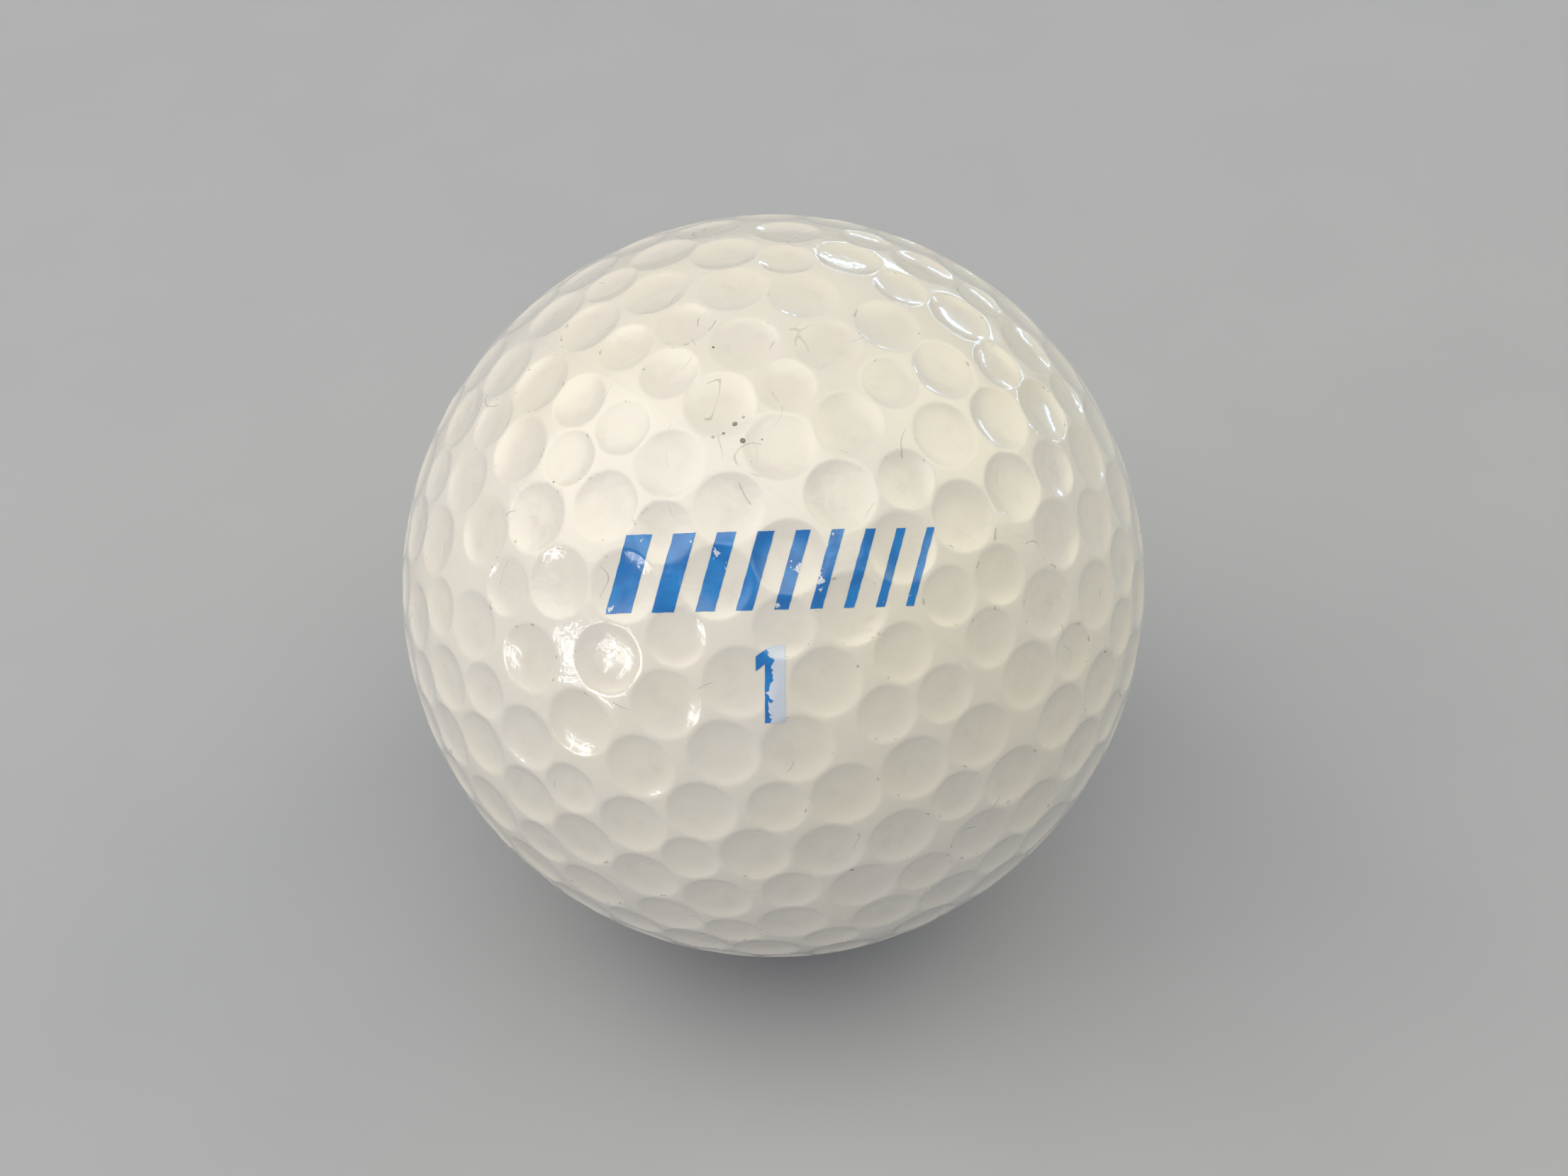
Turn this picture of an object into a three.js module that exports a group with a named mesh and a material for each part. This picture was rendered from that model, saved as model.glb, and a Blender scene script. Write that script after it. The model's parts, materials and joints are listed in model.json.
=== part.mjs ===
// A dimpled golf ball: a solid rubber core in a cover that is moulded as two half cups, which meet
// at the parting line. Millimetres, +Z up, origin at the ball's centre. The ball lies with the side
// that carries its play number turned forward (-Y) and up.
import * as THREE from "three";
import { ConvexHull } from "three/addons/math/ConvexHull.js";

// ---- Driving dimensions ----
const BALL_DIAMETER = 42.67; // 1.680 in, the least that the rules of golf allow
const CORE_DIAMETER = 38.9; // leaves a cover 1.9 mm thick
const BOND_GAP = 0.03; // keeps the faceted core clear of the cover's faceted inner wall
const LARGE = { diameter: 3.72, depth: 0.28 }; // a dimple's depth is measured from the full sphere
const SMALL = { diameter: 3.15, depth: 0.24 };
const BOWL_POWER = 3; // 2 would be a plain spherical bowl; more makes its wall steeper, its floor flatter
const MIN_LAND = 0.04; // the narrowest wall left between two dimples
const SEAM_LAND = 0.09; // from the parting line to the nearest dimple's edge

// How the mould lies in the resting ball, in degrees: its pole points down, left and forward.
const MOULD_TURN = new THREE.Euler(...[119.3, -32.3, -60.4].map(THREE.MathUtils.degToRad), "ZYX");
const SECTORS = 3; // the dimple pattern repeats every 120 degrees round the mould's pole
const SECTOR = 360 / SECTORS;

// Rows of dimples on one half of the mould, in degrees: height above the parting line, dimple size,
// and longitudes in one sector. A mirrored row is repeated at the opposite longitudes.
const MIRRORED_ROWS = [
  [5, SMALL, [4.5, 55.4]],
  [5.5, LARGE, [14, 25, 35.6, 46]],
  [12.5, SMALL, [0, 60]],
  [13.3, SMALL, [19.4, 41]],
  [14.4, LARGE, [30.4]],
  [15, LARGE, [9.8, 50.2]],
  [21.8, LARGE, [60]],
  [22.8, LARGE, [19, 41.4]],
  [23.5, SMALL, [30.2]],
  [24.3, LARGE, [5.6]],
  [27.5, LARGE, [50.7]],
  [32, LARGE, [13.2, 25.4, 37.2]],
  [32.6, SMALL, [0, 60]],
  [48.9, SMALL, [0, 60]],
  [51.3, LARGE, [14.3, 45.3]],
  [53.8, SMALL, [30.4]],
  [58.2, LARGE, [0, 60]],
  [61.4, LARGE, [19.5, 40.3]],
  [70, SMALL, [30]],
  [70.7, LARGE, [0, 60]],
  [79.8, LARGE, [30]],
];
// Between the mirrored rows, four large dimples on one side of each sector face five mixed ones.
const UNEVEN_ROW = [
  [39.5, LARGE, 50.2],
  [43, LARGE, 35.8],
  [42.2, LARGE, 21.7],
  [41.2, LARGE, 7.7],
  [40.7, LARGE, -6.1],
  [40.8, SMALL, -18.4],
  [44.6, LARGE, -30],
  [41.2, SMALL, -42],
  [40.6, LARGE, -54.3],
];

// ---- Mesh fineness ----
const RIM_POINTS = 12; // round each dimple's edge
const BOWL_POINTS = 6; // round the ring at the foot of a dimple's wall
const BOWL_RING = 0.65; // that ring's radius, as a share of the dimple's
const SEAM_POINTS = 72; // round the parting line
const WALL_POINTS = 36; // round the core's widest ring above the parting line
const WALL_STEP = 10; // degrees between the core's rings
const SETTLE_PASSES = 30;
const ON_SEAM = 1e-6; // a point of the unit sphere lower than this lies on the parting line
const AT_POLE = 0.01; // a direction closer to the pole than this has no longitude to speak of

const BALL_RADIUS = BALL_DIAMETER / 2;
const CORE_RADIUS = CORE_DIAMETER / 2;
const rad = THREE.MathUtils.degToRad;

// ---- Dimple pattern ----

// The unit vector at a longitude and a height above the parting line, both in degrees.
function direction(longitude, latitude) {
  const flat = new THREE.Vector3(Math.cos(rad(longitude)), Math.sin(rad(longitude)), 0);
  return flat.multiplyScalar(Math.cos(rad(latitude))).setZ(Math.sin(rad(latitude)));
}

// A dimple's edge seen from the ball's centre, as an angle from the dimple's middle.
function edgeAngle(size) {
  return Math.asin(size.diameter / 2 / BALL_RADIUS);
}

// Every dimple of one half of the mould, once per sector, and one at the pole.
function laidOut() {
  const dimples = [{ middle: direction(0, 90), size: LARGE }];
  const add = (latitude, size, longitude) => {
    for (let sector = 0; sector < SECTORS; sector += 1) {
      dimples.push({ middle: direction(longitude + sector * SECTOR, latitude), size });
    }
  };
  for (const [latitude, size, longitudes] of MIRRORED_ROWS) {
    for (const longitude of longitudes) {
      add(latitude, size, longitude);
      if (longitude % (SECTOR / 2) !== 0) add(latitude, size, -longitude);
    }
  }
  for (const [latitude, size, longitude] of UNEVEN_ROW) add(latitude, size, longitude);
  return dimples;
}

// Eases dimples apart until the land between them, and beside the parting line, is wide enough.
function settled(dimples) {
  for (let pass = 0; pass < SETTLE_PASSES; pass += 1) {
    for (const [index, one] of dimples.entries()) {
      for (const other of dimples.slice(index + 1)) {
        const reach = edgeAngle(one.size) + edgeAngle(other.size) + MIN_LAND / BALL_RADIUS;
        const short = reach - one.middle.angleTo(other.middle);
        if (short <= 0) continue;
        const push = other.middle.clone().sub(one.middle).setLength(short / 2);
        one.middle.sub(push).normalize();
        other.middle.add(push).normalize();
      }
    }
    for (const { middle, size } of dimples) {
      const lowest = Math.sin(edgeAngle(size) + SEAM_LAND / BALL_RADIUS);
      if (middle.z < lowest) middle.setZ(lowest).normalize();
    }
  }
  return dimples;
}

// Points round a dimple at a share of its radius, on the full sphere.
function ringRound({ middle, size }, share, count) {
  const angle = edgeAngle(size) * share;
  const start = new THREE.Vector3(0, 0, 1).cross(middle);
  if (start.length() < AT_POLE) start.set(1, 0, 0);
  const lean = middle.clone().applyAxisAngle(start.normalize(), angle);
  return Array.from({ length: count }, (_, i) =>
    lean.clone().applyAxisAngle(middle, (i * 2 * Math.PI) / count),
  );
}

// ---- Surfaces, as lists of triangles facing away from the ball's centre ----

function circle(count) {
  return Array.from({ length: count }, (_, i) => direction((i * 360) / count, 0));
}

// The triangles of the convex hull of some points, each as three of those same points.
function hullTriangles(points) {
  return new ConvexHull().setFromPoints(points).faces.map(({ edge }) => [
    edge.prev.head().point,
    edge.head().point,
    edge.next.head().point,
  ]);
}

// The same triangles without the flat face that closes a hull along the parting line.
function openAtSeam(triangles) {
  return triangles.filter((corners) => corners.some((corner) => corner.z > ON_SEAM));
}

function scaled(triangles, radius) {
  return triangles.map((corners) => corners.map((corner) => corner.clone().multiplyScalar(radius)));
}

// A dimple's bowl: its rim, a ring at the foot of its wall and its floor, on a smooth curve.
function bowl(dimple, rim) {
  const lowered = (point, share) =>
    point.clone().multiplyScalar(BALL_RADIUS - dimple.size.depth * (1 - share ** BOWL_POWER));
  const outer = rim.map((point) => lowered(point, 1));
  const ring = ringRound(dimple, BOWL_RING, BOWL_POINTS).map((point) => lowered(point, BOWL_RING));
  const floor = lowered(dimple.middle, 0);
  const triangles = [];
  const perStep = RIM_POINTS / BOWL_POINTS;
  ring.forEach((corner, i) => {
    const next = ring[(i + 1) % BOWL_POINTS];
    triangles.push([floor, corner, next]);
    for (let j = 0; j < perStep; j += 1) {
      const at = i * perStep + j;
      triangles.push([corner, outer[at], outer[(at + 1) % RIM_POINTS]]);
    }
    triangles.push([corner, outer[((i + 1) * perStep) % RIM_POINTS], next]);
  });
  return triangles;
}

// One half's outer surface: the land between the rims, and a bowl in place of each rim's flat face.
function dimpledHalf() {
  const dimples = settled(laidOut());
  const owner = new Map();
  const rims = dimples.map((dimple) => ringRound(dimple, 1, RIM_POINTS));
  rims.forEach((rim, index) => rim.forEach((point) => owner.set(point, index)));
  const land = openAtSeam(hullTriangles([...rims.flat(), ...circle(SEAM_POINTS)])).filter(
    ([a, b, c]) => !owner.has(a) || owner.get(a) !== owner.get(b) || owner.get(b) !== owner.get(c),
  );
  return [...scaled(land, BALL_RADIUS), ...dimples.flatMap((dimple, i) => bowl(dimple, rims[i]))];
}

// Points on rings over one half of a plain sphere, from the parting line up to the pole.
function plainHalfPoints() {
  const points = circle(SEAM_POINTS);
  for (let latitude = WALL_STEP; latitude < 90; latitude += WALL_STEP) {
    const count = Math.round(WALL_POINTS * Math.cos(rad(latitude)));
    for (let i = 0; i < count; i += 1) points.push(direction((i * 360) / count, latitude));
  }
  return [...points, direction(0, 90)];
}

// The flat ring on which the two cups meet.
function seamFace(innerRadius) {
  const ring = circle(SEAM_POINTS);
  return ring.flatMap((corner, i) => {
    const next = ring[(i + 1) % SEAM_POINTS];
    const [a, b] = [corner, next].map((point) => point.clone().multiplyScalar(innerRadius));
    const [c, d] = [corner, next].map((point) => point.clone().multiplyScalar(BALL_RADIUS));
    return [
      [a, b, c],
      [c, b, d],
    ];
  });
}

function geometryOf(triangles) {
  return new THREE.BufferGeometry().setFromPoints(triangles.flat());
}

// ---- Pieces ----

function coverCup() {
  const innerRadius = CORE_RADIUS + BOND_GAP;
  const wall = scaled(openAtSeam(hullTriangles(plainHalfPoints())), innerRadius);
  const inward = wall.map(([a, b, c]) => [a, c, b]);
  return geometryOf([...dimpledHalf(), ...inward, ...seamFace(innerRadius)]);
}

function coreBall() {
  const upper = plainHalfPoints();
  const lower = upper.filter(({ z }) => z > ON_SEAM).map(({ x, y, z }) => new THREE.Vector3(x, -y, -z));
  return geometryOf(scaled(hullTriangles([...upper, ...lower]), CORE_RADIUS));
}

function piece(name, geometry, material) {
  geometry.computeVertexNormals();
  const mesh = new THREE.Mesh(geometry, new THREE.MeshStandardMaterial(material));
  mesh.name = name;
  return mesh;
}

const IONOMER = { color: "#efe9db", roughness: 0.22, metalness: 0 };
const RUBBER = { color: "#7f8f86", roughness: 0.85, metalness: 0 };

const cup = coverCup();
const frontCup = piece("cover_cup_front", cup, IONOMER);
const rearCup = piece("cover_cup_rear", cup.clone(), IONOMER);
rearCup.rotation.x = Math.PI; // the two cups are alike, turned over about the mould's seam axis

const mould = new THREE.Group();
mould.setRotationFromEuler(MOULD_TURN);
mould.add(piece("core", coreBall(), RUBBER), frontCup, rearCup);

const ball = new THREE.Group();
ball.add(mould);
export default ball;
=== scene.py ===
"""The looks of a golf ball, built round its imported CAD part.

Lengths are in metres unless a name or comment says otherwise. The mould's own axes have the ball's
parting line in the plane z = 0 and one mould pole on +z; MOULD_TURN sets them in the resting ball.
"""

import json
import math

import bmesh
import bpy
import numpy as np
from mathutils import Matrix, Vector, noise
from mathutils.geometry import delaunay_2d_cdt


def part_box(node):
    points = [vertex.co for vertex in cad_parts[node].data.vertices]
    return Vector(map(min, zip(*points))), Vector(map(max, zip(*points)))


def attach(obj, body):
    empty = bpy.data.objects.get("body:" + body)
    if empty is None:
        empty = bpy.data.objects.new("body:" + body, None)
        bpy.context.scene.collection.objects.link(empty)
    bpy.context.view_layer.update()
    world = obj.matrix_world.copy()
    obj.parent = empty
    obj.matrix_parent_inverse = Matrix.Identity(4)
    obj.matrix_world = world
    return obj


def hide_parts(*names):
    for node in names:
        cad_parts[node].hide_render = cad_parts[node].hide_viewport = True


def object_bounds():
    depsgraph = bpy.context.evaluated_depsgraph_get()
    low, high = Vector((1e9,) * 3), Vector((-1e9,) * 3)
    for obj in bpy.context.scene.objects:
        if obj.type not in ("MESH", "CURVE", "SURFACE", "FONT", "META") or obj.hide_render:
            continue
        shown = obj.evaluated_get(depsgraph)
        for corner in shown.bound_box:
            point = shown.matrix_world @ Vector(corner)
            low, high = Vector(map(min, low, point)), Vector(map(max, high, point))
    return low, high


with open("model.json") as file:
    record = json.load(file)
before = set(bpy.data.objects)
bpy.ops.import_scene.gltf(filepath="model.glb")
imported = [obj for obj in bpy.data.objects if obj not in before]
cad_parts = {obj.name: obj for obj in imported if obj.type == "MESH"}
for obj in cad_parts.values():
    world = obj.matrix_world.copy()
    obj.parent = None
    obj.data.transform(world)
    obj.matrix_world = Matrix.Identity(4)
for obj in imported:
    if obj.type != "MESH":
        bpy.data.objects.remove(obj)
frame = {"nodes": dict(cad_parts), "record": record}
cad_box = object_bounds()

# ---- Sizes ----
MM = 0.001
TEE_SEAT = next(m for m in frame["record"]["mounts"] if m["name"] == "tee_seat")
BALL_RADIUS = -TEE_SEAT["pos_m"][2]
CORE_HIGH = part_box("core")[1]
BOND_GAP = 0.03 * MM
WALL_RADIUS = max(CORE_HIGH) + BOND_GAP

LARGE = {"radius": 1.86 * MM, "depth": 0.28 * MM}
SMALL = {"radius": 1.575 * MM, "depth": 0.24 * MM}
MIN_LAND = 0.04 * MM
SEAM_LAND = 0.09 * MM
BOWL_POWER = 3.0  # 2 would be a plain spherical bowl; more makes its floor flatter
LIP = 0.02 * MM  # how far the coat rounds a dimple's edge
BOWL_REACH = 1.6  # how far out a dimple can be felt, against its own radius

# ---- Dimple pattern, in degrees, as the CAD part has it ----
MOULD_TURN = (119.3, -32.3, -60.4)
SECTORS = 3
SECTOR = 360 / SECTORS
# Each row: height above the parting line, dimple size, and its places in a sector. Those that
# aren't on a mirror line, at 0 or 60, come again at minus their place.
MIRRORED_ROWS = (
    (5, SMALL, (4.5, 55.4)),
    (5.5, LARGE, (14, 25, 35.6, 46)),
    (12.5, SMALL, (0, 60)),
    (13.3, SMALL, (19.4, 41)),
    (14.4, LARGE, (30.4,)),
    (15, LARGE, (9.8, 50.2)),
    (21.8, LARGE, (60,)),
    (22.8, LARGE, (19, 41.4)),
    (23.5, SMALL, (30.2,)),
    (24.3, LARGE, (5.6,)),
    (27.5, LARGE, (50.7,)),
    (32, LARGE, (13.2, 25.4, 37.2)),
    (32.6, SMALL, (0, 60)),
    (48.9, SMALL, (0, 60)),
    (51.3, LARGE, (14.3, 45.3)),
    (53.8, SMALL, (30.4,)),
    (58.2, LARGE, (0, 60)),
    (61.4, LARGE, (19.5, 40.3)),
    (70, SMALL, (30,)),
    (70.7, LARGE, (0, 60)),
    (79.8, LARGE, (30,)),
)
# The one row with no mirror image: height, dimple size and place.
UNEVEN_ROW = (
    (39.5, LARGE, 50.2),
    (43, LARGE, 35.8),
    (42.2, LARGE, 21.7),
    (41.2, LARGE, 7.7),
    (40.7, LARGE, -6.1),
    (40.8, SMALL, -18.4),
    (44.6, LARGE, -30),
    (41.2, SMALL, -42),
    (40.6, LARGE, -54.3),
)
SETTLE_PASSES = 60
EASING = 0.25  # how much of its overlap a pair of dimples is moved apart by each time it is met

# ---- Printed marks, in the ball's own axes ----
# A pad presses the ink on square to the ball along PRINT_OUT; PRINT_UP is up on the marks.
PRINT_OUT = Vector((0, -1, 1)).normalized()
PRINT_RIGHT = Vector((1, 0, 0))
PRINT_UP = PRINT_OUT.cross(PRINT_RIGHT)
INK_TOP = 0.022 * MM  # above the cover's surface
INK_BURIED = 0.01 * MM  # below it
INK_WANDER = 0.025 * MM  # how far an ink edge strays from its outline
INK_WAVE = 0.39 * MM  # the length over which it strays one way and back
INK_SEED = 7  # which way it strays where
BAND = {"width": 16.6 * MM, "height": 3.9 * MM, "middle": (-0.1 * MM, 0.75 * MM)}
BAND_TILT = math.radians(1.5)
BAND_BARS = 9
BAND_SLANT = math.radians(17)
WIDEST_BAR = 1.3 * MM
BAR_SHRINK = 0.86  # each bar's width against the one before
NUMERAL = {"height": 3.9 * MM, "stem": 1.0 * MM, "head": 0.65 * MM, "middle": (0.15 * MM, -4.9 * MM)}
# The flag at the numeral's head: how far left of the stem it reaches, how far below the head its
# outer end starts, how high that end is, and how far below the head it runs back into the stem.
FLAG = {"reach": 0.45 * MM, "drop": 0.5625 * MM, "height": 0.75 * MM, "root": 0.9375 * MM}

# ---- Marks of use, as directions from the ball's middle ----
SPECK_CLUSTER = Vector((-0.07, -0.43, 0.90))
HAIR_CLUSTER = Vector((-0.15, -0.20, 0.97))

# ---- Camera, floor and lights ----
CAMERA_PLACE = Vector((0.6, -100.43, 100.25)) * MM
CAMERA_LENS = 56.1  # millimetres, on a sensor 36 mm wide
FLOOR_SIZE = 20.0
# Each light: name, direction from the ball, distance, width, height, watts and colour.
SOFTBOXES = (
    ("key_softbox", (-0.70, 0.0, 0.71), 0.6, 0.95, 0.95, 5.2, (1.0, 0.965, 0.80)),
    ("right_softbox", (0.70, 0.22, 0.64), 0.6, 0.80, 0.80, 2.75, (1.0, 0.975, 0.62)),
    ("overhead_softbox", (0.05, -0.30, 0.95), 0.6, 0.85, 0.85, 3.6, (1.0, 0.97, 0.79)),
)
WINDOW_PANES = (
    ("front_window_glow", (-0.80, -0.57, 0.12), 0.5, 0.19, 0.05, 0.13, (1.0, 0.99, 0.97)),
    ("front_window_left_pane", (-0.846, -0.50, 0.15), 0.5, 0.004, 0.15, 0.05, (1.0, 0.99, 0.97)),
    ("front_window_middle_pane", (-0.815, -0.55, 0.15), 0.5, 0.003, 0.15, 0.04, (1.0, 0.99, 0.97)),
    ("front_window_right_pane", (-0.74, -0.655, 0.15), 0.5, 0.004, 0.15, 0.05, (1.0, 0.99, 0.97)),
    ("front_window_sill", (-0.80, -0.57, 0.0), 0.5, 0.20, 0.004, 0.05, (1.0, 0.99, 0.97)),
    ("rear_window_left_pane", (0.24, 0.95, 0.17), 0.6, 0.12, 0.03, 0.075, (0.5, 0.75, 1.0)),
    ("rear_window_middle_pane", (0.50, 0.85, 0.17), 0.6, 0.12, 0.03, 0.075, (0.5, 0.75, 1.0)),
    ("rear_window_right_pane", (0.74, 0.65, 0.17), 0.6, 0.12, 0.03, 0.075, (0.5, 0.75, 1.0)),
)
LIGHT_MIDDLE = (0.5, 0.5, 0)  # the middle of a light, as shares of its width and height
SOFT_FROM, SOFT_TO = 0.12, 0.5  # where a softbox starts to fade and is dark, as shares of its width
SKY_COLOUR = (0.90, 0.925, 1.06)
SKY_STRENGTH = 0.43

# ---- Mesh fineness ----
RING_POINTS = 40  # round each ring of a dimple
BOWL_RINGS = (0.97, 0.92, 0.85, 0.74, 0.58, 0.38, 0.18)  # rings in a dimple, against its radius
LAND_RINGS = (1.03, 1.1)  # rings just outside it
RING_CLEAR = 0.02  # how much nearer its own dimple than any other a land ring's point has to be
FILL_CLEAR = 0.06  # how far outside the land rings the spread starts
FILL_STEP = 0.5 * MM  # between the points spread over the rest of the land
SEAM_POINTS = 360
SEAM_CLEAR = 0.04 * MM  # no land point is nearer the seam
WALL_POINTS = 36  # round the inner wall where it meets the seam
WALL_STEP = 10  # degrees between the inner wall's rings
JOIN_TOLERANCE = 1e-7  # against the ball's radius; points this near would be one
AT_POLE = 0.01  # a dimple whose middle is this near the pole, as a share of the radius, is on it
INK_STEP = 0.13 * MM
INK_CLEAR = INK_STEP / 2  # no inner point of a film is nearer its edge
CUP_CREASE = math.radians(50)  # edges that turn by this or more stay crisp
INK_CREASE = math.radians(40)
PRESS_PASSES = 4  # rounds of finding where the ink meets the dimpled surface


# ---- Dimple pattern ----

def direction(longitude, latitude):
    """The unit vector at a longitude and a height above the parting line, in degrees."""
    lon, lat = math.radians(longitude), math.radians(latitude)
    return np.array((math.cos(lat) * math.cos(lon), math.cos(lat) * math.sin(lon), math.sin(lat)))


def laid_out():
    """Every dimple of one half: unit vectors to their middles, edge angles and depths."""
    dimples = [(direction(0, 90), LARGE)]

    def add(latitude, size, longitude):
        for sector in range(SECTORS):
            dimples.append((direction(longitude + sector * SECTOR, latitude), size))

    for latitude, size, longitudes in MIRRORED_ROWS:
        for longitude in longitudes:
            add(latitude, size, longitude)
            if longitude % (SECTOR / 2):
                add(latitude, size, -longitude)
    for latitude, size, longitude in UNEVEN_ROW:
        add(latitude, size, longitude)
    middles = np.array([middle for middle, _ in dimples])
    edges = np.array([math.asin(size["radius"] / BALL_RADIUS) for _, size in dimples])
    depths = np.array([size["depth"] for _, size in dimples])
    return middles, edges, depths


def unit(vectors):
    """The vectors, each made one long."""
    return vectors / np.linalg.norm(vectors, axis=-1, keepdims=True)


def settled(middles, edges):
    """Eases dimples apart until the land between them is wide enough."""
    reach = edges[:, None] + edges[None, :] + MIN_LAND / BALL_RADIUS
    lowest = np.sin(edges + SEAM_LAND / BALL_RADIUS)
    for _ in range(SETTLE_PASSES):
        short = reach - np.arccos(np.clip(middles @ middles.T, -1, 1))
        np.fill_diagonal(short, 0)
        rows, columns = np.nonzero(short > 0)
        push = unit(middles[columns] - middles[rows]) * short[rows, columns, None] * EASING
        moved = middles.copy()
        np.subtract.at(moved, rows, push)
        np.add.at(moved, columns, push)
        moved[:, 2] = np.maximum(moved[:, 2], lowest)
        middles = unit(moved)
    return middles


def shares(points, middles, edges):
    """How far each point is from each dimple's middle, as a share of that dimple's radius."""
    return np.arccos(np.clip(points @ middles.T, -1, 1)) / edges


def surface_radius(points):
    """The ball's radius along unit vectors in the mould's upper half, dimples taken off."""
    radius = np.full(len(points), BALL_RADIUS)
    for middle, edge, depth in zip(MIDDLES, EDGES, DEPTHS):
        share = np.arccos(np.clip(points @ middle, -1, 1)) / edge
        felt = share < BOWL_REACH
        bowl = depth * (1 - share[felt] ** BOWL_POWER)
        radius[felt] -= (bowl + np.sqrt(bowl ** 2 + LIP ** 2)) / 2
    return radius


# ---- Cover cups ----

def ring_round(middle, angle, count):
    """Unit vectors on a circle round a dimple's middle."""
    side = np.cross((0, 0, 1), middle)
    side = unit(side) if np.linalg.norm(side) > AT_POLE else np.array((1.0, 0, 0))
    other = np.cross(middle, side)
    turns = np.arange(count) * 2 * math.pi / count
    ring = np.outer(np.cos(turns), side) + np.outer(np.sin(turns), other)
    return math.cos(angle) * middle + math.sin(angle) * ring


def circle(count, latitude=0):
    """Unit vectors evenly round the mould's axis at a height in degrees."""
    return np.array([direction(i * 360 / count, latitude) for i in range(count)])


def spread_points():
    """Unit vectors spread evenly over the mould's upper half, on a spiral."""
    count = int(4 * math.pi * BALL_RADIUS ** 2 / FILL_STEP ** 2)
    order = np.arange(count // 2)
    z = 1 - (order * 2 + 1) / count
    turn = order * math.pi * (3 - math.sqrt(5))
    flat = np.sqrt(1 - z ** 2)
    return np.column_stack((flat * np.cos(turn), flat * np.sin(turn), z))


def land_points():
    """Points on the land: rings just outside each dimple, then an even spread over what is left."""
    points = []
    for index, (middle, edge) in enumerate(zip(MIDDLES, EDGES)):
        for share in LAND_RINGS:
            ring = ring_round(middle, edge * share, RING_POINTS)
            others = np.delete(shares(ring, MIDDLES, EDGES), index, axis=1)
            points.append(ring[others.min(axis=1) > share + RING_CLEAR])
    spread = spread_points()
    nearest = shares(spread, MIDDLES, EDGES).min(axis=1)
    points.append(spread[nearest > LAND_RINGS[-1] + FILL_CLEAR])
    points = np.concatenate(points)
    return points[points[:, 2] > SEAM_CLEAR / BALL_RADIUS]


def net_faces(points):
    """The triangles that join points spread over the mould's upper half, facing out.

    Seen from the lower pole the half maps onto a flat disc, where the joining is done.
    """
    disc = points[:, :2] / (1 + points[:, 2:])
    flat = [Vector(point) for point in disc.tolist()]
    made = delaunay_2d_cdt(flat, [], [], 0, JOIN_TOLERANCE)
    sources = [origin[0] for origin in made[3]]
    return np.array([[sources[corner] for corner in face] for face in made[2]])


def bowl_faces(rings):
    """Triangles between a bowl's rings, numbered from the outermost, then its middle."""
    faces = []
    for ring in range(rings - 1):
        for i in range(RING_POINTS):
            a = ring * RING_POINTS + i
            b = ring * RING_POINTS + (i + 1) % RING_POINTS
            faces.append((a, b, b + RING_POINTS))
            faces.append((a, b + RING_POINTS, a + RING_POINTS))
    last = (rings - 1) * RING_POINTS
    middle = last + RING_POINTS
    faces += [(last + i, last + (i + 1) % RING_POINTS, middle) for i in range(RING_POINTS)]
    return faces


def dimpled_half():
    """One half's outer surface in the mould's axes: its points, seam points first, and triangles.

    The land and each dimple's outermost ring are joined in one net. The lids that this puts over
    the dimples give way to bowls.
    """
    rims = [ring_round(middle, edge * BOWL_RINGS[0], RING_POINTS) for middle, edge in zip(MIDDLES, EDGES)]
    net = np.concatenate([circle(SEAM_POINTS), *rims, land_points()])
    faces = net_faces(net)
    owner = np.full(len(net), -1)
    bowls_end = SEAM_POINTS + len(MIDDLES) * RING_POINTS
    owner[SEAM_POINTS:bowls_end] = np.repeat(np.arange(len(MIDDLES)), RING_POINTS)
    first, second, third = owner[faces].T
    lids = (first >= 0) & (first == second) & (second == third)
    points, triangles = [net], [faces[~lids]]
    total = len(net)
    bowl = np.array(bowl_faces(len(BOWL_RINGS)))
    inner_count = (len(BOWL_RINGS) - 1) * RING_POINTS + 1
    for index, (middle, edge) in enumerate(zip(MIDDLES, EDGES)):
        inner = [ring_round(middle, edge * share, RING_POINTS) for share in BOWL_RINGS[1:]]
        rim = SEAM_POINTS + index * RING_POINTS
        numbers = np.concatenate([
            np.arange(rim, rim + RING_POINTS),
            np.arange(total, total + inner_count),
        ])
        triangles.append(numbers[bowl])
        points += [*inner, middle[None]]
        total += inner_count
    points = np.concatenate(points)
    return points * surface_radius(points)[:, None], np.concatenate(triangles)


def inner_wall():
    """The cup's plain inside, its faces turned towards the middle."""
    rings = [
        circle(round(WALL_POINTS * math.cos(math.radians(latitude))), latitude)
        for latitude in range(WALL_STEP, 90, WALL_STEP)
    ]
    points = np.concatenate([circle(SEAM_POINTS), *rings, direction(0, 90)[None]])
    return points * WALL_RADIUS, net_faces(points)[:, ::-1]


def half_cup():
    """A closed half of the cover: dimpled outside, plain inside, flat where the halves meet."""
    outside, out_faces = dimpled_half()
    outside[:SEAM_POINTS, 2] = 0
    wall, wall_faces = inner_wall()
    start = len(outside)
    here = np.arange(SEAM_POINTS)
    there = (here + 1) % SEAM_POINTS
    seam = np.concatenate([
        np.column_stack((start + here, start + there, here)),
        np.column_stack((here, start + there, there)),
    ])
    return np.concatenate([outside, wall]), np.concatenate([out_faces, wall_faces + start, seam])


def add_mesh(name, points, faces, material, smooth=True):
    """A new object from points and faces, in one material."""
    mesh = bpy.data.meshes.new(name)
    mesh.from_pydata(points.tolist(), [], [tuple(face) for face in faces.tolist()])
    mesh.polygons.foreach_set("use_smooth", [smooth] * len(mesh.polygons))
    mesh.materials.append(material)
    piece = bpy.data.objects.new(name, mesh)
    bpy.context.collection.objects.link(piece)
    return piece


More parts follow.
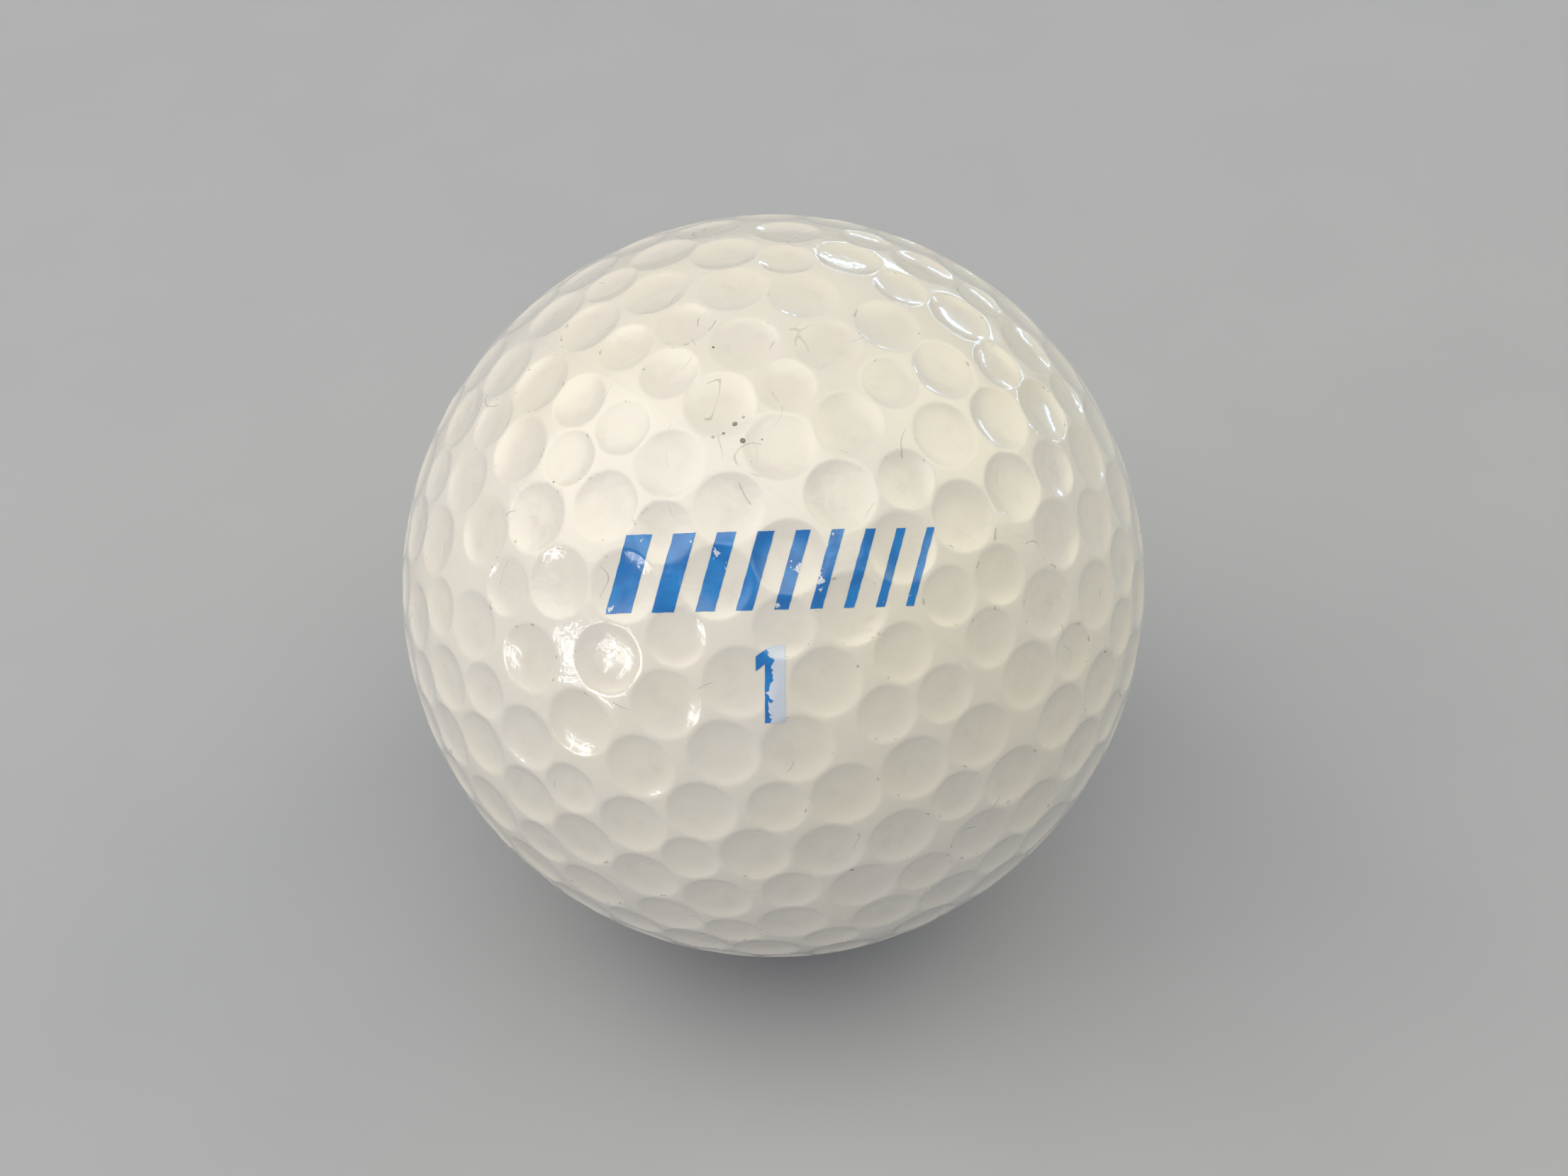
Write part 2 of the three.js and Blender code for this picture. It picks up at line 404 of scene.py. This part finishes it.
def sharpen(piece, angle):
    """Keeps crisp the edges that turn by an angle or more."""
    shape = bmesh.new()
    shape.from_mesh(piece.data)
    for edge in shape.edges:
        edge.smooth = len(edge.link_faces) == 2 and edge.calc_face_angle() < angle
    shape.to_mesh(piece.data)
    shape.free()


MIDDLES, EDGES, DEPTHS = laid_out()
MIDDLES = settled(MIDDLES, EDGES)


# ---- Placing in the ball ----

def mould_matrix():
    """Turns the mould's axes into the resting ball's."""
    turn_x, turn_y, turn_z = (math.radians(angle) for angle in MOULD_TURN)
    about_x, about_y = Matrix.Rotation(turn_x, 3, "X"), Matrix.Rotation(turn_y, 3, "Y")
    return Matrix.Rotation(turn_z, 3, "Z") @ about_y @ about_x


MOULD = np.array(mould_matrix())
OTHER_HALF = np.diag((1.0, -1.0, -1.0))  # half a turn about the mould's x makes the rear cup


def ball_radius_at(directions):
    """The ball's radius along unit vectors in its own axes."""
    mould = directions @ MOULD
    lower = mould[:, 2] < 0
    mould[lower] = mould[lower] @ OTHER_HALF
    return surface_radius(mould)


# ---- Printed marks ----

def bar_outline(left, right, height, lean):
    """A slanted bar, its foot from left to right and its head shifted by lean."""
    foot, head, shift = -height / 2, height / 2, lean / 2
    return [(left - shift, foot), (right - shift, foot), (right + shift, head), (left + shift, head)]


def band_outlines():
    """A band of slanted bars, each thinner than the one before."""
    lean = BAND["height"] * math.tan(BAND_SLANT)
    widths = [WIDEST_BAR * BAR_SHRINK ** i for i in range(BAND_BARS)]
    gap = (BAND["width"] - lean - sum(widths)) / (BAND_BARS - 1)
    outlines, left = [], -(BAND["width"] - lean) / 2
    for width in widths:
        outlines.append(bar_outline(left, left + width, BAND["height"], lean))
        left += width + gap
    return outlines


def numeral_outline():
    """A plain figure one: an upright stem with a short flag to the left of its head."""
    top = NUMERAL["height"] / 2
    right = NUMERAL["stem"] / 2
    left, flag_left = -right, -right - FLAG["reach"]
    return [
        (left, -top),
        (right, -top),
        (right, top),
        (right - NUMERAL["head"], top),
        (flag_left, top - FLAG["drop"]),
        (flag_left, top - FLAG["drop"] - FLAG["height"]),
        (left, top - FLAG["root"]),
    ]


def placed(outline, middle, tilt=0.0):
    """An outline turned and moved to its place on the print's plane."""
    cos, sin = math.cos(tilt), math.sin(tilt)
    return [(middle[0] + x * cos - y * sin, middle[1] + x * sin + y * cos) for x, y in outline]


def close_points(outline):
    """An outline's points set INK_STEP apart, strayed a little as worn ink edges do."""
    points = []
    for (x0, y0), (x1, y1) in zip(outline, outline[1:] + outline[:1]):
        steps = max(1, round(math.hypot(x1 - x0, y1 - y0) / INK_STEP))
        for i in range(steps):
            at = Vector((x0 + (x1 - x0) * i / steps, y0 + (y1 - y0) * i / steps, 0))
            stray = noise.noise_vector(at / INK_WAVE) * INK_WANDER
            points.append((at.x + stray.x, at.y + stray.y))
    return points


def film_plan(outlines):
    """Flat triangles filling some outlines: the points and the faces."""
    points, edges = [], []
    for outline in outlines:
        ring = close_points(outline)
        start = len(points)
        points += ring
        edges += [(start + i, start + (i + 1) % len(ring)) for i in range(len(ring))]
    border = np.array(points)
    low, high = border.min(axis=0), border.max(axis=0)
    xs, ys = (np.arange(low[i], high[i], INK_STEP) for i in (0, 1))
    grid = np.array([(x, y) for y in ys for x in xs])
    gaps = np.linalg.norm(grid[:, None] - border[None], axis=2).min(axis=1)
    points += [tuple(point) for point in grid[gaps > INK_CLEAR]]
    flat = [Vector(point) / BALL_RADIUS for point in points]
    made = delaunay_2d_cdt(flat, edges, [], 1, JOIN_TOLERANCE)
    faces = np.array(made[2])
    used, numbers = np.unique(faces, return_inverse=True)
    return np.array([tuple(point) for point in made[0]])[used] * BALL_RADIUS, numbers.reshape(faces.shape)


def on_ball(plan, lift):
    """Points of the print's plane pressed straight onto the ball, lifted off its surface."""
    across = np.outer(plan[:, 0], PRINT_RIGHT) + np.outer(plan[:, 1], PRINT_UP)
    radius = np.full(len(plan), BALL_RADIUS)
    for _ in range(PRESS_PASSES):
        out = np.sqrt(radius ** 2 - (plan ** 2).sum(axis=1))
        points = across + np.outer(out, PRINT_OUT)
        radius = ball_radius_at(unit(points))
    return unit(points) * (radius + lift)[:, None]


def ink_film(name, outlines, material):
    """A thin closed film of ink that follows the dimples."""
    plan, faces = film_plan(outlines)
    top, under = on_ball(plan, INK_TOP), on_ball(plan, -INK_BURIED)
    count = len(plan)
    ways = np.concatenate([faces[:, (0, 1)], faces[:, (1, 2)], faces[:, (2, 0)]])
    known = {tuple(way) for way in ways.tolist()}
    rim = np.array([way for way in ways.tolist() if (way[1], way[0]) not in known])
    a, b = rim[:, 0], rim[:, 1]
    sides = np.concatenate([
        np.column_stack((a, a + count, b)),
        np.column_stack((b, a + count, b + count)),
    ])
    faces = np.concatenate([faces, faces[:, ::-1] + count, sides])
    return add_mesh(name, np.concatenate([top, under]), faces, material)


# ---- Materials ----

def add_node(tree, kind, inputs=None, **settings):
    """Adds a shader node; an input is given a value or another node's output."""
    made = tree.nodes.new("ShaderNode" + kind)
    for name, value in settings.items():
        setattr(made, name, value)
    for socket, value in (inputs or {}).items():
        if isinstance(value, bpy.types.NodeSocket):
            tree.links.new(value, made.inputs[socket])
        else:
            made.inputs[socket].default_value = value
    return made


def new_material(name):
    """A material with its shader and the coordinates of the object that wears it."""
    material = bpy.data.materials.new(name)
    material.use_nodes = True
    tree = material.node_tree
    return material, tree, tree.nodes["Principled BSDF"], add_node(tree, "TexCoord").outputs["Object"]


def noise_at(tree, coordinates, size, detail=2.0, roughness=0.5):
    """A noise with features about size metres across, from 0 to 1."""
    inputs = {"Vector": coordinates, "Scale": 1 / size, "Detail": detail, "Roughness": roughness}
    return add_node(tree, "TexNoise", inputs).outputs["Fac"]


def ramped(tree, value, start, end, low=0.0, high=1.0):
    """Maps a value from start..end to low..high, smoothly and without going past them."""
    inputs = {"Value": value, "From Min": start, "From Max": end, "To Min": low, "To Max": high}
    return add_node(tree, "MapRange", inputs, interpolation_type="SMOOTHSTEP").outputs["Result"]


def maths(tree, operation, first, second=0.0):
    """One sum done on two values."""
    return add_node(tree, "Math", {0: first, 1: second}, operation=operation).outputs["Value"]


def mixed(tree, share, first, second):
    """Mixes two colours by a share."""
    mix = add_node(tree, "Mix", data_type="RGBA")
    for socket, value in ((0, share), (6, first), (7, second)):
        if isinstance(value, bpy.types.NodeSocket):
            tree.links.new(value, mix.inputs[socket])
        else:
            mix.inputs[socket].default_value = value
    return mix.outputs[2]


def bumped(tree, height, distance, normal=None):
    """A normal tilted as if the surface stood distance metres higher where the height is 1."""
    inputs = {"Height": height, "Distance": distance, "Strength": 1.0}
    if normal is not None:
        inputs["Normal"] = normal
    return add_node(tree, "Bump", inputs).outputs["Normal"]


def specks(tree, coordinates, cell, size, share):
    """Round specks up to size across, in a share of the cells of a loose grid."""
    inputs = {"Vector": coordinates, "Scale": 1 / cell, "Randomness": 1.0}
    cells = add_node(tree, "TexVoronoi", inputs, feature="F1")
    pick = add_node(tree, "SeparateColor", {"Color": cells.outputs["Color"]})
    reach = maths(tree, "MULTIPLY", pick.outputs["Green"], size / cell)
    inside = maths(tree, "LESS_THAN", cells.outputs["Distance"], reach)
    chosen = maths(tree, "LESS_THAN", pick.outputs["Red"], share)
    return maths(tree, "MULTIPLY", inside, chosen)


def hairlines(tree, coordinates, bend, width, seen_size, seen_from):
    """Fine curved lines, broken up so that only short lengths show."""
    wave = noise_at(tree, coordinates, bend, detail=1.0)
    off = maths(tree, "ABSOLUTE", maths(tree, "SUBTRACT", wave, 0.5))
    line = ramped(tree, off, 0.0, width / bend, low=1.0, high=0.0)
    where = noise_at(tree, coordinates, seen_size, detail=1.0)
    shown = ramped(tree, where, seen_from, seen_from + 0.03)
    return maths(tree, "MULTIPLY", line, shown)


def shifted(tree, coordinates, x, y, z):
    """Coordinates moved, so that a pattern made on them differs from its twin."""
    return add_node(tree, "VectorMath", {0: coordinates, 1: (x, y, z)}, operation="ADD").outputs["Vector"]


def near(tree, coordinates, spot, reach):
    """A share that is 1 round a spot on the ball and falls to 0 at a reach from it."""
    away = add_node(tree, "VectorMath", {0: coordinates, 1: spot * BALL_RADIUS}, operation="DISTANCE")
    return ramped(tree, away.outputs["Value"], 0.3 * reach, reach, low=1.0, high=0.0)


def orange_peel(tree, place):
    """The coat's slight waviness, its finer grain and the patches where it dried creased, as a normal."""
    wavy = bumped(tree, noise_at(tree, place, 1.5 * MM, detail=1.0), 0.022 * MM)
    grained = bumped(tree, noise_at(tree, place, 0.4 * MM, detail=3.0), 0.004 * MM, wavy)
    patches = ramped(tree, noise_at(tree, place, 4.5 * MM, detail=1.0), 0.48, 0.6)
    creases = maths(tree, "MULTIPLY", noise_at(tree, place, 0.45 * MM, detail=1.0), patches)
    return bumped(tree, creases, 0.022 * MM, grained)


def add_clear_coat(tree, shader, normal):
    """Glossy varnish over a material; the normal shapes the varnish and what is under it."""
    tree.links.new(normal, shader.inputs["Normal"])
    tree.links.new(normal, shader.inputs["Coat Normal"])
    shader.inputs["Coat Weight"].default_value = 0.8
    shader.inputs["Coat Roughness"].default_value = 0.045
    shader.inputs["Coat IOR"].default_value = 1.5


def plastic_colour(tree, place):
    """Cream plastic, greyer in places and yellowed in others."""
    cream, grey_cream = (0.815, 0.762, 0.675, 1), (0.78, 0.735, 0.68, 1)
    yellow = (0.815, 0.752, 0.605, 1)
    mottle = ramped(tree, noise_at(tree, place, 9 * MM, detail=5.0, roughness=0.6), 0.35, 0.65)
    aged = ramped(tree, noise_at(tree, place, 26 * MM, detail=3.0), 0.42, 0.68, high=0.55)
    return mixed(tree, aged, mixed(tree, mottle, cream, grey_cream), yellow)


def dimple_shade_and_grime(tree, place, from_middle):
    """Painted shade with patchy grime: how much darker the dimples' floors are made, the deeper the darker.
    """
    depth = LARGE["depth"]
    deep = ramped(tree, from_middle, BALL_RADIUS - depth, BALL_RADIUS - 0.3 * depth, low=1.0, high=0.0)
    patchy = noise_at(tree, place, 1.6 * MM, detail=5.0, roughness=0.7)
    return maths(tree, "MULTIPLY", deep, ramped(tree, patchy, 0.45, 0.75, low=0.05, high=0.22))


def edge_dirt(tree, place, from_middle):
    """Short dashes of dirt caught along the dimples' edges, in some regions of the ball."""
    edge_out = ramped(tree, from_middle, BALL_RADIUS - 4 * LIP, BALL_RADIUS - 2 * LIP)
    edge_in = ramped(tree, from_middle, BALL_RADIUS - 2 * LIP, BALL_RADIUS - LIP / 2, low=1.0, high=0.0)
    dashes = ramped(tree, noise_at(tree, place, 0.5 * MM, detail=2.0), 0.64, 0.68, high=0.6)
    regions = ramped(tree, noise_at(tree, place, 7 * MM, detail=1.0), 0.46, 0.58)
    at_edge = maths(tree, "MULTIPLY", edge_out, edge_in)
    return maths(tree, "MULTIPLY", maths(tree, "MULTIPLY", dashes, regions), at_edge)


def all_specks(tree, place):
    """Lone specks all over the ball, and a cluster of them above the marks."""
    dots = specks(tree, place, cell=0.5 * MM, size=0.17 * MM, share=0.3)
    clustered = maths(tree, "MULTIPLY", dots, near(tree, place, SPECK_CLUSTER, 2.4 * MM))
    lone = specks(tree, shifted(tree, place, 0.1, 0.2, 0.3), cell=2.6 * MM, size=0.13 * MM, share=0.4)
    return maths(tree, "MAXIMUM", clustered, lone)


def all_hairs(tree, place):
    """A few hairs all over the ball, and more of them near the top."""
    few = hairlines(tree, place, bend=6 * MM, width=0.02 * MM, seen_size=2.2 * MM, seen_from=0.63)
    elsewhere = shifted(tree, place, 0.3, 0.1, 0.2)
    more = hairlines(tree, elsewhere, bend=4 * MM, width=0.022 * MM, seen_size=1.6 * MM, seen_from=0.54)
    more = maths(tree, "MULTIPLY", more, near(tree, place, HAIR_CLUSTER, 8 * MM))
    return maths(tree, "MAXIMUM", few, more)


def cover_material():
    """Cream plastic under a clear coat, with old yellowing, handling marks, dirt, and dimple floors
    darkened as painted shade with patchy grime.
    """
    material, tree, shader, place = new_material("cover_coated_plastic")
    # The first colour here darkens the dimples' floors: painted shade with some grime.
    shade_and_dirt, hair = (0.42, 0.38, 0.32, 1), (0.25, 0.22, 0.18, 1)
    black_speck, brown_speck = (0.05, 0.042, 0.035, 1), (0.24, 0.09, 0.05, 1)
    from_middle = add_node(tree, "VectorMath", {0: place}, operation="LENGTH").outputs["Value"]
    dots, hairs = all_specks(tree, place), all_hairs(tree, place)
    speck = mixed(tree, ramped(tree, noise_at(tree, place, 1.2 * MM), 0.48, 0.56), black_speck, brown_speck)
    # Dimple floors darkened: painted shade, mixed with patchy grime.
    colour = mixed(tree, dimple_shade_and_grime(tree, place, from_middle), plastic_colour(tree, place), shade_and_dirt)
    colour = mixed(tree, edge_dirt(tree, place, from_middle), colour, hair)
    colour = mixed(tree, maths(tree, "MULTIPLY", dots, 0.85), colour, speck)
    colour = mixed(tree, maths(tree, "MULTIPLY", hairs, 0.5), colour, hair)
    tree.links.new(colour, shader.inputs["Base Color"])
    worn = noise_at(tree, place, 3.2 * MM, detail=6.0, roughness=0.65)
    tree.links.new(ramped(tree, worn, 0.52, 0.72, low=0.17, high=0.34), shader.inputs["Roughness"])
    shader.inputs["Subsurface Weight"].default_value = 0.12
    shader.inputs["Subsurface Radius"].default_value = (1.0, 0.8, 0.5)
    shader.inputs["Subsurface Scale"].default_value = 0.25 * MM
    raised = maths(tree, "MAXIMUM", dots, hairs)
    add_clear_coat(tree, shader, bumped(tree, raised, 0.006 * MM, orange_peel(tree, place)))
    return material


def worn_off(tree, place, ragged, flaked_from, worn_side):
    """Where ink is gone: ragged flakes, pinholes, and all beyond worn_side along the marks."""
    flakes = ramped(tree, ragged, flaked_from, flaked_from + 0.012)
    along = add_node(tree, "SeparateXYZ", {"Vector": place}).outputs["X"]
    stray = maths(tree, "MULTIPLY", maths(tree, "SUBTRACT", ragged, 0.5), 3 * MM)
    side = ramped(tree, maths(tree, "ADD", along, stray), worn_side, worn_side + 0.05 * MM)
    pinholes = specks(tree, place, cell=0.45 * MM, size=0.08 * MM, share=0.16)
    return maths(tree, "MAXIMUM", maths(tree, "MAXIMUM", flakes, side), pinholes)


def ink_material(name, flaked_from, worn_side):
    """Blue ink under the coat; where it has worn off, a pale trace is left.

    The lower flaked_from is, the more has flaked.
    """
    material, tree, shader, place = new_material(name)
    blue, deep_blue, trace = (0.003, 0.204, 0.58, 1), (0.002, 0.15, 0.475, 1), (0.62, 0.67, 0.77, 1)
    shade = ramped(tree, noise_at(tree, place, 1.1 * MM, detail=4.0), 0.35, 0.65)
    ragged = noise_at(tree, place, 1.7 * MM, detail=5.0, roughness=0.62)
    gone = worn_off(tree, place, ragged, flaked_from, worn_side)
    colour = mixed(tree, gone, mixed(tree, shade, blue, deep_blue), trace)
    tree.links.new(colour, shader.inputs["Base Color"])
    tree.links.new(ramped(tree, ragged, 0.3, 0.7, low=0.14, high=0.30), shader.inputs["Roughness"])
    add_clear_coat(tree, shader, bumped(tree, gone, -0.006 * MM, orange_peel(tree, place)))
    return material


def rubber_material():
    """The core's matt moulded rubber, with its filler showing as a fine grain."""
    material, tree, shader, place = new_material("core_rubber")
    dark, light, filler = (0.185, 0.245, 0.21, 1), (0.235, 0.30, 0.26, 1), (0.46, 0.50, 0.46, 1)
    grain = noise_at(tree, place, 0.8 * MM, detail=5.0, roughness=0.6)
    colour = mixed(tree, ramped(tree, grain, 0.35, 0.65), dark, light)
    grains = specks(tree, place, cell=0.6 * MM, size=0.12 * MM, share=0.3)
    tree.links.new(mixed(tree, grains, colour, filler), shader.inputs["Base Color"])
    tree.links.new(ramped(tree, grain, 0.3, 0.7, low=0.55, high=0.8), shader.inputs["Roughness"])
    tree.links.new(bumped(tree, grain, 0.02 * MM), shader.inputs["Normal"])
    return material


def floor_material():
    """Plain pale matt board."""
    material, tree, shader, place = new_material("floor_board")
    pale, paler = (0.412, 0.419, 0.444, 1), (0.421, 0.428, 0.453, 1)
    faint = ramped(tree, noise_at(tree, place, 12 * MM, detail=4.0), 0.3, 0.7)
    tree.links.new(mixed(tree, faint, pale, paler), shader.inputs["Base Color"])
    shader.inputs["Roughness"].default_value = 0.85
    return material


# ---- Pieces ----

def add_cover(material):
    """Both cups from one half, turned into their places, instead of their CAD pieces."""
    points, faces = half_cup()
    for name, half in (("cover_cup_front", np.eye(3)), ("cover_cup_rear", OTHER_HALF)):
        cup = add_mesh(name + "_moulded", points @ half @ MOULD.T, faces, material)
        sharpen(cup, CUP_CREASE)
        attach(cup, "root")
        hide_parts(name)


def add_marks():
    """The printed band and the numeral below it."""
    noise.seed_set(INK_SEED)
    band = [placed(outline, BAND["middle"], BAND_TILT) for outline in band_outlines()]
    numeral = [placed(numeral_outline(), NUMERAL["middle"])]
    marks = (
        ("printed_band", band, ink_material("band_ink", flaked_from=0.63, worn_side=BAND["width"])),
        ("printed_numeral", numeral, ink_material("numeral_ink", flaked_from=0.64, worn_side=-0.15 * MM)),
    )
    for name, outlines, material in marks:
        film = ink_film(name, outlines, material)
        sharpen(film, INK_CREASE)
        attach(film, "root")


def paint_core():
    """Gives the core's CAD mesh its material."""
    core = frame["nodes"]["core"]
    core.data.materials.clear()
    core.data.materials.append(rubber_material())


def add_floor(height):
    """A square floor under the ball, at a height."""
    half = FLOOR_SIZE / 2
    corners = np.array([(x * half, y * half, height) for x, y in ((-1, -1), (1, -1), (1, 1), (-1, 1))])
    add_mesh("floor", corners, np.array([[0, 1, 2, 3]]), floor_material(), smooth=False)


def fade_edges(light):
    """Makes a softbox bright in its middle and dark at its edges, so that its mirror image is soft."""
    light.use_nodes = True
    tree = light.node_tree
    spot = add_node(tree, "NewGeometry").outputs["Parametric"]
    from_middle = add_node(tree, "VectorMath", {0: spot, 1: LIGHT_MIDDLE}, operation="DISTANCE")
    glow = ramped(tree, from_middle.outputs["Value"], SOFT_FROM, SOFT_TO, low=1.0, high=0.0)
    tree.links.new(glow, tree.nodes["Emission"].inputs["Strength"])


def add_light(name, direction_to, distance, width, height, watts, colour):
    """A rectangular lamp that faces the ball."""
    light = bpy.data.lights.new(name, "AREA")
    light.shape = "RECTANGLE"
    light.size, light.size_y = width, height
    light.energy, light.color = watts, colour
    holder = bpy.data.objects.new(name, light)
    holder.location = Vector(direction_to).normalized() * distance
    holder.rotation_euler = holder.location.to_track_quat("Z", "Y").to_euler()
    bpy.context.collection.objects.link(holder)
    return light


def add_lights():
    """The soft boxes, the panes of both windows and an even sky."""
    for values in SOFTBOXES:
        fade_edges(add_light(*values))
    for values in WINDOW_PANES:
        add_light(*values)
    world = bpy.data.worlds.new("studio")
    world.use_nodes = True
    sky = world.node_tree.nodes["Background"]
    sky.inputs["Color"].default_value = (*SKY_COLOUR, 1)
    sky.inputs["Strength"].default_value = SKY_STRENGTH
    bpy.context.scene.world = world


def add_camera():
    """The camera at the photograph's angle, looking square at the print."""
    camera = bpy.data.objects.new("camera", bpy.data.cameras.new("camera"))
    camera.data.lens = CAMERA_LENS
    camera.data.clip_start = MM
    camera.location = CAMERA_PLACE
    camera.rotation_euler = PRINT_OUT.to_track_quat("Z", "Y").to_euler()
    bpy.context.collection.objects.link(camera)
    bpy.context.scene.camera = camera


add_cover(cover_material())
add_marks()
paint_core()
add_floor(cad_box[0][2])
add_lights()
add_camera()
bpy.context.scene.view_settings.view_transform = "Standard"
